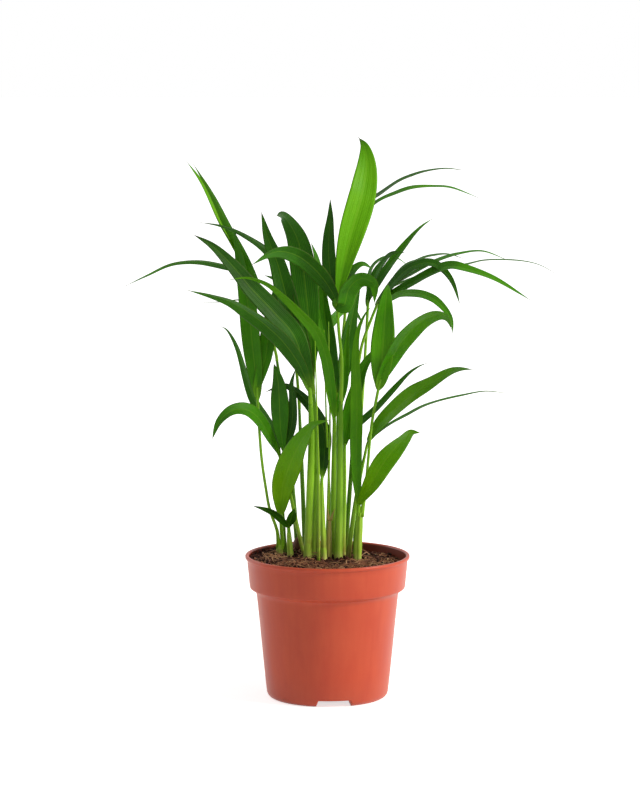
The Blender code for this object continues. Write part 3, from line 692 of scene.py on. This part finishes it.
for n, (name, (_, _, low, high)) in enumerate(SHOOTS.items()):
    path = smooth_path(shoot_path(name), 40)
    length = sum((b - a).length for a, b in zip(path, path[1:]))
    store = new_store()
    # Shoots at the back get a low tone, painted shade where the front of the clump shades them; the others
    # vary a little at random.
    tone_and_back_shade = 0.35 if name in ("stem_02", "stem_05", "stem_15", "stem_16", "stem_17", "stem_18",
                             "stem_19") else 0.85 + 0.15 * math.sin(3 * n)
    papery = 1.0 if name == "stem_09" else 0.0
    grooves = 3 if low > 2.7 else 2

    def girth(s, low=low, high=high, n=n):
        swell = 0.16 * math.exp(-((s - 0.03) / 0.05) ** 2)
        scar = 0.05 * math.exp(-((s - 0.30 - 0.04 * math.sin(n)) / 0.012) ** 2)
        neck = 1 - 0.28 * max(0.0, (s - 0.5) / 0.5) ** 2
        return (low + (high - low) * s) * (1 + swell + scar + 0.015 * math.sin(19 * s + n)) * neck

    sweep(store, path,
          lambda s, i: ring_of(girth(s), girth(s) * 0.92, 1.1 * math.sin(n) - 1.3 + 0.5 * s, 30,
          grooves if low > 2.1 else 1, 0.2),
          lambda s, k, size: {"along": min(1.0, s * length / 118), "across": 0.0,
                              "tone": tone_and_back_shade + 0.13 * math.sin(2 * math.pi * k / size * 5 + n),
                              "under": papery * (0.5 + 0.5 * s)}, 0)
    if papery:
        for k in range(3):
            side = Vector((1.6 * math.cos(2.1 * k), 1.6 * math.sin(2.1 * k), 0))
            rag = [path[-1] + side * 0.6, path[-1] + side * 1.4 + Vector((0, 0, 5)),
                   path[-1] + side * 2.6 + Vector((0.5 * k, 0, 9))]
            sweep(store, smooth_path(rag, 8), lambda s, i: ring_of(1.2 * (1 - s) + 0.1, 0.15, 0.0, 8),
                  lambda s, k, size: {"along": 1.0, "across": 0.0, "tone": 0.6, "under": 1.0}, 0)
    shoot = store_piece(name.replace("stem", "shoot"), store, [sheath])
    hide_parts(name)
print(len(SHOOTS), "shoots")

# %% [markdown]
# ## Spears
# Between the shoots stand spears: new leaves still rolled as tight as a
# knitting needle. They are the palest green of the clump and end in a point
# among the open leaves. Each is a thin round sweep of its own.

# %% Spears
SPEARS = (
    [(-6.3, 99, 8), (-6.0, 150, 8), (-7.4, 205, 9), (-9.0, 262, 9)],
    [(-0.8, 99, -12), (0.6, 150, -12), (1.8, 205, -12), (0.8, 276, -13)],
    [(1.6, 99, -20), (1.4, 150, -19), (-1.0, 210, -18), (-2.5, 270, -19)],
)
spears = new_store()
for n, knots in enumerate(SPEARS):
    sweep(spears, smooth_path([in_sight(*p) for p in knots], 40),
          lambda s, i: ring_of(1.25 - 0.95 * s, 1.2 - 0.9 * s, n, 12, 1, 0.15),
          lambda s, k, size: {"along": 0.1 + 0.6 * s, "across": 0.0, "tone": 0.95, "under": 0.0}, 0)
store_piece("rolled_spears", spears, [sheath])

# %% [markdown]
# ## The leaves
# A young areca leaf is simple at first and splits as it ages: two lobes that
# part in a V, or a few along the stalk. The table gives each leaf's stalk and
# lobes as they were drawn for the solid model, with one number more, the
# tone. Width comes from a sine that rises fast and tapers long, which is the
# outline of a lobe. Real blades are never flat: each is folded a little along
# its rib, pleated between veins and waved at its margin.

# %% Leaf table
# The fifth number of each lobe, its tone, holds the leaf's own age and painted light and shade together.
LEAVES = {
    "leaf_01": dict(shoot="stem_01", offset=-1.5, radius=(1.1, 1.0),
        stalk=[(-37, 124, -14), (-42, 138, -13), (-45, 155, -12), (-48, 177, -10), (-50, 205, -8),
        (-51, 228, -8)],
        lobes=[
            ([(-54, 255), (-57, 285), (-62, 314), (-68, 346)], 15, (-12, -20, -36), (15, 20, 30), 0.30),
            ([(-45, 250), (-42, 270), (-36, 292), (-34, 310), (-43, 327), (-62, 340), (-78, 346),
            (-92, 348)], 13, (-10, -22, -26, -34, -30), (10, 15, 40, 60, 50), 0.38),
        ]),
    "leaf_02": dict(shoot="stem_17", offset=0, radius=(1.2, 1.0),
        stalk=[(-44, 280, -68)],
        lobes=[
            ([(-53, 303), (-65, 328), (-77, 350), (-90, 376), (-102, 393)], 9.5, (-70, -84, -100),
            (-40, -45, -40), 0.78),
            ([(-50, 300), (-61, 325), (-72, 346), (-84, 370), (-97, 391)], 9.0, (-66, -78, -92),
            (40, 45, 40), 0.62),
        ]),
    "leaf_03": dict(shoot="stem_06", offset=0, radius=(1.7, 1.3),
        stalk=[(-13.2, 228, -2)],
        lobes=[
            ([(-23, 263), (-38, 282), (-55, 300), (-69, 317), (-83, 331), (-98, 340)], 17, (0, 3, 8, 14),
            (-10, -20, -20, 10), 0.12),
            ([(-20, 244), (-31, 260), (-43, 272), (-56, 282), (-69, 290), (-84, 295), (-102, 299)], 15,
            (2, 22, 48, 72), (20, 35, 50, 60), 0.28),
        ]),
    "leaf_04": dict(shoot="stem_07", offset=0, radius=(1.6, 1.3),
        stalk=[(-11, 236, -11)],
        lobes=[
            ([(-12, 263), (-15, 292), (-18, 318), (-22, 337), (-31, 352), (-37, 353)], 20,
            (-12, -16, -24, -50), (-10, -5, 10, 30), 0.36, 1.1),
            ([(-20, 263), (-29, 292), (-36, 318), (-43, 337), (-48, 357)], 16, (-13, -16, -22, -30),
            (15, 5, 0, 10), 0.08, 0.85),
        ]),
    "leaf_05": dict(shoot="stem_11", offset=0, radius=(1.5, 1.0),
        stalk=[(10.2, 248, -3), (8.2, 270, -1), (7, 290, 0)],
        lobes=[
            ([(0, 303), (-9, 314), (-20, 323), (-32, 327), (-43, 325), (-55, 317)], 14.5, (4, 18, 34, 52),
            (40, 30, 20, 55), 0.22),
            ([(11, 314), (17, 340), (24, 365), (28, 387), (27, 402), (22, 410)], 22, (-2, -8, -20, -30),
            (0, -5, -20, 10), 0.62, 1.3),
            ([(3, 306), (1, 322), (1, 338), (2, 352), (2, 366)], 11, (-6, -18, -32), (20, 10, 10), 0.22),
            ([(12, 288), (15, 299), (21, 306), (28, 307), (34, 302), (34, 289)], 15, (5, 16, 28),
            (-10, -35, -15), 0.40),
            ([(11, 297), (15, 308), (20, 315), (26, 318), (33, 314)], 10, (-5, -12, -18), (30, 40, 40), 0.30),
        ]),
    "leaf_06": dict(shoot="stem_05", offset=0, radius=(1.2, 1.0),
        stalk=[(-23, 245, -46), (-27, 266, -50)],
        lobes=[
            ([(-47, 299), (-63, 313), (-75, 317), (-94, 320), (-113, 318), (-130, 310), (-146, 302)], 10,
            (-52, -66, -60, -54), (50, 65, 65, 60), 0.25),
            ([(-38, 284), (-52, 291), (-65, 292), (-76, 290.5), (-90, 290)], 5, (-50, -54, -58),
            (70, 75, 75), 0.25),
        ]),
    "leaf_07": dict(shoot="stem_02", offset=0, radius=(1.2, 1.0),
        stalk=[(-34.8, 178, -20)],
        lobes=[
            ([(-39, 195), (-45, 206), (-53, 219), (-59, 236), (-65, 256), (-72, 269), (-78, 273)], 8.7,
            (-23, -32, -44, -56), (20, 35, 45, 40), 0.22),
            ([(-40, 188), (-47, 201), (-54, 209), (-62, 212), (-71, 210), (-79, 202), (-84, 189)], 12,
            (-17, 2, 16, 26), (-30, -35, -30, -20), 0.44, 0.95),
        ]),
    "leaf_08": dict(shoot="stem_04", offset=0, radius=(1.1, 1.0),
        stalk=[(-31.6, 180, -16)],
        lobes=[
            ([(-34, 197), (-35, 219), (-36, 233), (-39, 246)], 14, (-15, -13, -10), (0, -10, -25), 0.20,
            1.15),
            ([(-26, 200), (-25, 219), (-26, 230), (-23, 242)], 8, (-17, -16, -14), (25, 20, 20), 0.15),
        ]),
    "leaf_09": dict(shoot="stem_01", offset=1.5, radius=(1.2, 1.2),
        stalk=[(-33.6, 124, -14), (-34, 135, -13)],
        lobes=[
            ([(-33, 153), (-29, 167), (-23, 181), (-17, 191), (-10, 200), (2, 204)], 19, (-8, 4, 16, 24),
            (0, 0, 25, 60), 0.80, 0.85),
        ]),
    "leaf_10": dict(shoot="stem_03", offset=0, radius=(1.2, 1.0),
        stalk=[(-28.2, 125, -4.5)],
        lobes=[
            ([(-34, 131), (-40, 136), (-47, 139), (-55, 141)], 6, (0, 6, 12), (20, 30, 40), 0.15),
            ([(-27, 130), (-24, 139)], 7.5, (-3, 1), (-20, -20), 0.05, 1.0),
        ]),
    "leaf_11": dict(shoot="stem_08", offset=0, radius=(1.3, 1.1),
        stalk=[(-3.6, 163, -2)],
        lobes=[
            ([(-2, 180), (-2, 195), (-8, 209), (-18, 221), (-29, 229), (-37, 228), (-46, 224)], 10.5,
            (-17, -23, -30, -38), (10, 20, 25, 40), 0.08),
        ]),
    "leaf_12": dict(shoot="stem_14", offset=1.5, radius=(1.1, 1.0),
        stalk=[(27.6, 152, -3), (29.6, 174, 0), (32, 200, 6), (36, 222, 9), (38.6, 234, 10)],
        lobes=[
            ([(47, 250), (55, 263), (64, 273), (73, 279), (81, 281), (87, 278), (90, 270)], 15,
            (14, 40, 68, 90), (-20, -30, -35, -20), 0.54),
            ([(40, 254), (41, 270), (42, 286), (43, 298), (44, 304)], 18, (11, 8, -8), (15, 10, 10), 0.50),
        ]),
    "leaf_13": dict(shoot="stem_14", offset=-1.5, radius=(1.2, 1.1),
        stalk=[(22.8, 142, -2.5)],
        lobes=[
            ([(21.5, 164), (21, 184), (21.5, 206), (21, 228), (20.5, 250), (22, 268), (27, 281), (33, 288)],
            10, (-2, 0, 2, 4), (20, 15, 20, 30), 0.56),
            ([(31, 156), (39, 170), (47, 181), (55, 190), (61, 195.5), (68, 194.5)], 16.5, (9, 28, 48, 64),
            (-5, -10, -30, -50), 0.74, 1.0),
        ]),
    "leaf_14": dict(shoot="stem_13", offset=0, radius=(1.1, 0.9),
        stalk=[(30, 189, -5)],
        lobes=[
            ([(38, 201), (48, 211), (61, 222), (74, 230), (87, 238), (96, 241), (106, 241)], 14,
            (-3, 20, 48, 74), (30, 35, 40, 50), 0.66),
            ([(44, 200), (58, 208), (69, 214), (81, 218), (98, 222), (114, 225), (129, 224)], 6,
            (-7, -14, -24, -36), (60, 70, 72, 70), 0.40),
        ]),
    "leaf_15": dict(shoot="stem_12", offset=0, radius=(1.4, 1.1),
        stalk=[(12.8, 187, -16)],
        lobes=[
            ([(16, 208), (21, 226), (26, 242), (33, 253), (42, 263)], 11, (-17, -22, -30), (10, 20, 30),
            0.42),
            ([(22, 200), (37, 214), (48, 226), (58, 237), (66, 243), (73, 246)], 7, (-14, -10, -4),
            (40, 45, 40), 0.42),
        ]),
    "leaf_16": dict(shoot="stem_15", offset=0, radius=(1.2, 1.0),
        stalk=[(25, 259, -52), (31, 276, -54), (37, 291, -54)],
        lobes=[
            ([(54, 314.5), (66, 321), (76, 324), (87, 325), (98, 322)], 8, (-62, -80, -96), (70, 75, 70),
            0.30),
            ([(48, 303), (66, 313), (80, 320), (95, 325), (112, 327), (130, 321)], 9, (-56, -68, -84, -92),
            (68, 72, 72, 70), 0.30),
            ([(47, 301), (68, 309.5), (89, 315), (102, 318), (113, 320.5), (127, 321), (142, 320),
            (154, 317), (165, 311)], 6, (-60, -78, -98, -106), (72, 76, 76, 72), 0.25),
            ([(54, 311), (67, 318), (77, 318), (85, 312), (91, 303), (96, 288)], 9, (-50, -44, -36, -28),
            (40, 45, 40, 20), 0.26),
            ([(50, 298), (61, 304), (74, 311), (87, 316), (98, 315), (121, 307), (148, 291)], 10,
            (-50, -42, -28, -14), (50, 50, 50, 50), 0.35),
            ([(43, 291), (53, 295.5), (62, 296.5), (71, 295), (80, 290), (89, 279), (91, 266)], 9,
            (-46, -30, -16, -6), (50, 60, 30, 0), 0.50),
        ]),
    "leaf_17": dict(shoot="stem_16", offset=0, radius=(1.2, 0.9),
        stalk=[(15, 310, -60), (17.5, 346, -66)],
        lobes=[
            ([(27, 361), (38, 369), (50, 377), (60, 381.5), (71, 385), (85, 387), (98, 386)], 8,
            (-72, -84, -98, -106), (65, 70, 72, 70), 0.22),
            ([(35, 362), (50, 369), (62, 373), (76, 374), (90, 373), (109, 366)], 8, (-66, -60, -56, -50),
            (68, 70, 70, 65), 0.42),
        ]),
    "leaf_18": dict(shoot="stem_19", offset=0, radius=(1.2, 1.0),
        stalk=[(27.5, 255, -66), (29.5, 292, -76)],
        lobes=[
            ([(38, 307), (45, 317), (54, 329), (62, 339), (69, 346), (76, 351)], 8.5, (-78, -86, -96),
            (40, 45, 50), 0.40),
            ([(34, 309), (40, 319), (47, 326), (57, 326)], 7, (-72, -66, -60), (30, 40, 40), 0.20),
            ([(31, 313), (40, 322), (50, 322), (58, 317)], 6, (-84, -96, -104), (60, 65, 60), 0.45),
        ]),
    "leaf_19": dict(shoot="stem_10", offset=0, radius=(1.5, 1.3),
        stalk=[(4.8, 206, -9)],
        lobes=[
            ([(3, 226), (-1, 250), (-8, 268), (-20, 282), (-31, 293), (-43, 303), (-58, 308), (-73, 306)],
            9, (-4, 10, 20, 32), (10, 20, 35, 55), 0.56),
            ([(2, 228), (-2, 252), (-5, 272), (-6, 288)], 8, (-5, -3, -7), (-15, -15, -10), 0.60),
            ([(9.5, 219), (12.6, 234), (14, 258), (16, 278)], 6.5, (-13, -15, -16), (20, 15, 20), 0.62),
        ]),
    "leaf_21": dict(shoot="stem_20", offset=0, radius=(1.3, 1.1),
        stalk=[(7, 224, -25)],
        lobes=[
            ([(3, 244), (0, 266), (-3, 290), (-4, 316)], 13, (-26, -28, -33), (15, 10, 10), 0.25),
            ([(12, 242), (15, 262), (19, 285), (24, 304)], 12, (-27, -30, -36), (-15, -20, -20), 0.25),
        ]),
    "leaf_20": dict(shoot="stem_18", offset=0, radius=(1.4, 1.1),
        stalk=[(-10, 240, -68), (-9, 262, -76)],
        lobes=[
            ([(-6, 285), (-6, 306), (-8, 322), (-12, 334)], 13, (-84, -96, -108), (-30, -40, -50), 0.35),
            ([(-18, 280), (-27, 296), (-36, 306), (-46, 310)], 12, (-82, -92, -102), (30, 40, 45), 0.30),
            ([(2, 276), (10, 284), (19, 284), (26, 274)], 10, (-84, -98, -108), (-40, -45, -40), 0.40),
        ]),
}
print(len(LEAVES), "leaves with", sum(len(v["lobes"]) for v in LEAVES.values()), "lobes")

# %% [markdown]
# ## Growing a leaf
# A stalk leaves its shoot in line with it and thins upward, grooved on its
# inner side. A lobe starts inside the stalk, so no joint shows, and its
# section is a shallow V with a raised rib beneath and fine pleats. The
# section turns as it goes, because no lobe faces one way all along.

# %% Stalks and lobes
def stalk_path(leaf):
    """The stalk's line, from inside its shoot to where the lobes part."""
    shoot = shoot_path(leaf["shoot"])
    ahead = (shoot[-1] - shoot[-2]).normalized()
    across = ahead.cross(EYE - shoot[-1]).normalized() * leaf["offset"]
    start = shoot[-1] + across * 0.6 - ahead * 3.0
    points = [start, shoot[-1] + across + ahead * 3.3] + [in_sight(*p) for p in leaf["stalk"]]
    return smooth_path(points, 26)


def lobe_path(stalk, rib, depths):
    """The lobe's rib, which starts inside the stalk at the nearest point."""
    drawn = [in_sight(x, z, spread(depths, i / (len(rib) - 1))) for i, (x, z) in enumerate(rib)]
    nearest = min(range(4, len(stalk)), key=lambda i: (stalk[i] - drawn[0]).length)
    return smooth_path([stalk[nearest - 2], stalk[nearest], *drawn], 64)


ACROSS = 14  # facets over each face of a blade


def blade_section(s, width, turn, seed, peak=0.75):
    """A ring of points: over the upper face from margin to margin, and back along the under face."""
    swell = math.sin(math.pi * min(1.0, s + 0.012) ** peak) ** 0.85
    half = max(0.12, width / 2 * swell)
    fold = 0.20 + 0.08 * math.sin(5 * s + seed)
    thick = 0.16 + 0.18 * (1 - s)
    c, d = math.cos(turn), math.sin(turn)
    ring = []
    for face in (1, -1):
        for k in range(ACROSS + 1):
            a = (2 * k / ACROSS - 1) * face
            wave = 0.045 * half * math.sin(17 * s + seed + (2.0 if a > 0 else 0.0)) * a * a
            pleat = 0.018 * half * math.cos(a * 16)
            rise = fold * half * abs(a) ** 1.25 + wave + pleat
            rib = 0.38 * math.exp(-(a / 0.09) ** 2) * (1 - 0.6 * s)
            up = rise + face * thick / 2 * (1 - 0.55 * abs(a)) - (rib if face < 0 else rib * 0.35)
            side = half * a * (1 - 0.04 * abs(a))
            ring.append((side * c - up * d, side * d + up * c))
    return ring


def grow(name, leaf, seed):
    """One leaf as one piece: its stalk and all its lobes."""
    store = new_store()
    stalk = stalk_path(leaf)
    r0, r1 = leaf["radius"]
    length = sum((b - a).length for a, b in zip(stalk, stalk[1:]))
    flare = max(0.0, SHOOTS[leaf["shoot"]][3] * 0.74 - r0)

    def girth(s):
        return r0 + (r1 - r0) * s + flare * math.exp(-s * length / 9)

    sweep(store, stalk,
          lambda s, i: ring_of(girth(s) * (1 + 0.12 * s ** 6), girth(s) * 0.9, -1.4, 14, 1, 0.2),
          lambda s, k, size: {"along": 0.45 + 0.5 * s, "across": 0.0, "tone": 0.9, "under": 0.0}, 1)
    for n, (rib, width, depths, turns, tone, *peak) in enumerate(leaf["lobes"]):
        path = lobe_path(stalk, rib, depths)
        phase = seed + 2.4 * n

        def values(s, k, size):
            under = k > ACROSS
            across = 2 * (k % (ACROSS + 1)) / ACROSS - 1
            return {"along": s, "across": -across if under else across,
                    "tone": tone + 0.10 * math.sin(3.1 * s + phase), "under": float(under)}

        sweep(store, path,
              lambda s, i: blade_section(s, width, math.radians(spread(turns, s)), phase, *peak),
              values, 0)
    made = store_piece(name + "_blade", store, [lamina, sheath])
    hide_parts(name)
    return made


for seed, (name, leaf) in enumerate(LEAVES.items()):
    made = grow(name, leaf, seed)

# %% [markdown]
# ## Floor and light
# A plant for sale is lit plainly: a large soft lamp high on the right, the
# white room as fill, and a weaker lamp behind on the left that draws the edge
# of the pot. The floor could be lit until it turns white, but that would wash
# out the plant too, so it glows a little by itself, only as it is looked at,
# and less near the pot, where it keeps a faint shadow.

# %% Floor
floor_paint = bpy.data.materials.new("matt_white_floor")
floor_paint.use_nodes = True
tree = floor_paint.node_tree
shader = tree.nodes["Principled BSDF"]
where = add(tree, "TexCoord").outputs["Object"]
faint = add(tree, "TexNoise", {"Vector": where, "Scale": 4.0, "Detail": 2.0})
white = add(tree, "Mix", {"Factor": faint.outputs[0], "A": swatch("#FAFAFA"), "B": swatch("#FFFFFF")},
            data_type="RGBA")
tree.links.new(white.outputs["Result"], shader.inputs["Base Color"])
shader.inputs["Roughness"].default_value = 0.9
shader.inputs["Specular IOR Level"].default_value = 0.1
rays = add(tree, "LightPath")
seen = add(tree, "Math", {0: rays.outputs["Is Camera Ray"], 1: rays.outputs["Is Glossy Ray"]},
           operation="MAXIMUM")
seen = add(tree, "Math", {0: seen.outputs[0], 1: rays.outputs["Is Transmission Ray"]}, operation="MAXIMUM")
afar = add(tree, "VectorMath", {0: where}, operation="LENGTH").outputs["Value"]
share = add(tree, "MapRange", {"Value": afar, "From Min": 0.25, "From Max": 0.9, "To Min": 0.68,
                               "To Max": 1.0})
glow = add(tree, "Emission", {"Color": (1, 1, 1, 1),
                              "Strength": add(tree, "Math", {0: seen.outputs[0], 1: share.outputs[0]},
                              operation="MULTIPLY").outputs[0]})
both = add(tree, "AddShader", {0: shader.outputs[0], 1: glow.outputs[0]})
tree.links.new(both.outputs[0], tree.nodes["Material Output"].inputs["Surface"])

floor_mesh = bpy.data.meshes.new("floor")
floor_mesh.from_pydata([(-6, -6, 0), (6, -6, 0), (6, 6, 0), (-6, 6, 0)], [], [(0, 1, 2, 3)])
floor_mesh.materials.append(floor_paint)
floor = bpy.data.objects.new("floor", floor_mesh)
bpy.context.scene.collection.objects.link(floor)

# %% Lamps and room
def lamp(name, place, size, power, colour="#FFFFFF"):
    """A round lamp, size metres across, that points at the plant's middle."""
    data = bpy.data.lights.new(name, "AREA")
    data.shape, data.size, data.energy = "DISK", size, power
    data.color = swatch(colour)[:3]
    made = bpy.data.objects.new(name, data)
    made.location = place
    made.rotation_euler = (Vector((0, 0, 0.2)) - Vector(place)).to_track_quat("-Z", "Y").to_euler()
    bpy.context.scene.collection.objects.link(made)
    return made


lamp("key_right", (2.0, -0.75, 1.25), 0.9, 50, "#FFF4E6")
lamp("rim_left", (-1.5, 0.75, 0.7), 0.6, 5)

world = bpy.data.worlds.new("white_room")
bpy.context.scene.world = world
world.use_nodes = True
tree = world.node_tree
rays = add(tree, "LightPath")
seen = add(tree, "Math", {0: rays.outputs["Is Camera Ray"], 1: rays.outputs["Is Glossy Ray"]},
           operation="MAXIMUM")
seen = add(tree, "Math", {0: seen.outputs[0], 1: rays.outputs["Is Transmission Ray"]}, operation="MAXIMUM")
level = add(tree, "MapRange", {"Value": seen.outputs[0], "To Min": 0.32, "To Max": 1.0})
tree.links.new(level.outputs[0], tree.nodes["Background"].inputs["Strength"])
tree.nodes["Background"].inputs["Color"].default_value = (1, 1, 1, 1)
bpy.context.scene.view_settings.view_transform = "Standard"
